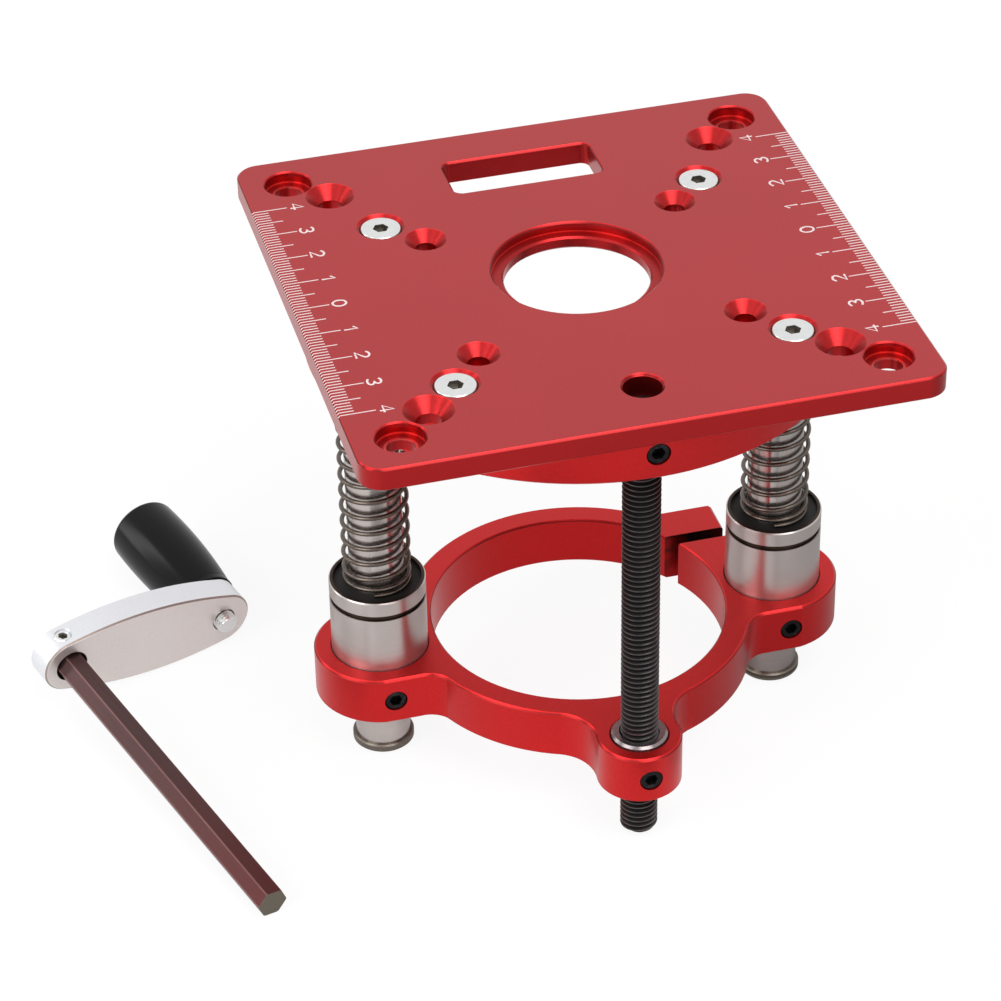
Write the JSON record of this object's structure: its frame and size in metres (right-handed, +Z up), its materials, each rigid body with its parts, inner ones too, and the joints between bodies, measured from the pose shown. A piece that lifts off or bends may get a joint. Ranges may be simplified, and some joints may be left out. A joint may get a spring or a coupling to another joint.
{
  "type": "router table lift",
  "caption": "Square red insert plate on guide rods with springs, whose lead screw raises a split clamp that holds a router motor; a loose crank turns the screw through the plate.",
  "frame": {"origin": "centre of the top plate's upper face, in the middle of the bit opening", "axes": "+Z up out of the upper face, +Y towards the rear slot, +X to the right seen from the side of the lead screw"},
  "size_m": [0.1776, 0.1391, 0.114],
  "materials": {
    "red_anodised": "satin red anodised",
    "screw_steel": "pale satin zinc",
    "ground_rod": "ground and polished",
    "bearing_steel": "fine turned",
    "spring_wire": "grey drawn wire",
    "retaining_steel": "dark phosphate",
    "black_steel": "black oxide",
    "nut_steel": "bright turned",
    "seal_rubber": "matt black",
    "cage_plastic": "moulded",
    "silver_alloy": "satin silver anodised",
    "hex_steel": "brown phosphate",
    "grip_plastic": "gloss black"
  },
  "bodies": {
    "table_plate": {"top_plate": "red_anodised", "support_flange": "red_anodised", "plate_screws": "screw_steel", "guide_rod_left": "ground_rod", "guide_rod_right": "ground_rod", "retaining_ring_left": "retaining_steel", "retaining_ring_right": "retaining_steel", "spring_left": "spring_wire", "spring_right": "spring_wire", "flange_set_screws": "black_steel"},
    "lead_screw": {"lead_screw": "black_steel"},
    "carriage": {"motor_clamp": "red_anodised", "clamp_screw": "black_steel", "lead_nut": "nut_steel", "bearing_shell_left": "bearing_steel", "bearing_shell_right": "bearing_steel", "bearing_cage_left": "cage_plastic", "bearing_cage_right": "cage_plastic", "bearing_balls_left": "bearing_steel", "bearing_balls_right": "bearing_steel", "bearing_seals_left": "seal_rubber", "bearing_seals_right": "seal_rubber", "clamp_set_screws": "black_steel"},
    "crank": {"crank_arm": "silver_alloy", "hex_bar": "hex_steel", "crank_set_screw": "screw_steel", "grip_bolt": "screw_steel"},
    "crank_grip": {"crank_grip": "grip_plastic"}
  },
  "joints": [
    {"name": "lead_screw_turn", "type": "hinge", "parent": "table_plate", "child": "lead_screw", "pos_m": [0, -0.0462, -0.05], "axis": [0, 0, 1], "range_deg": [-7776.5, 3168.5]},
    {"name": "carriage_lift", "type": "slide", "parent": "table_plate", "child": "carriage", "axis": [0, 0, 1], "range_m": [-0.011, 0.027], "deforming": ["spring_left", "spring_right"]},
    {"name": "crank_pick_up", "type": "slide", "parent": "table_plate", "child": "crank", "axis": [0, 0, 1], "range_m": [0, 0.12]},
    {"name": "grip_spin", "type": "hinge", "parent": "crank", "child": "crank_grip", "pos_m": [-0.07941, 0.06259, -0.10439], "axis": [-0.3271, 0.9392, 0.1045], "continuous": true}
  ],
  "couplings": [
    {"joint": "lead_screw_turn", "follows": "carriage_lift", "rad_per_m": -5026.5}
  ]
}
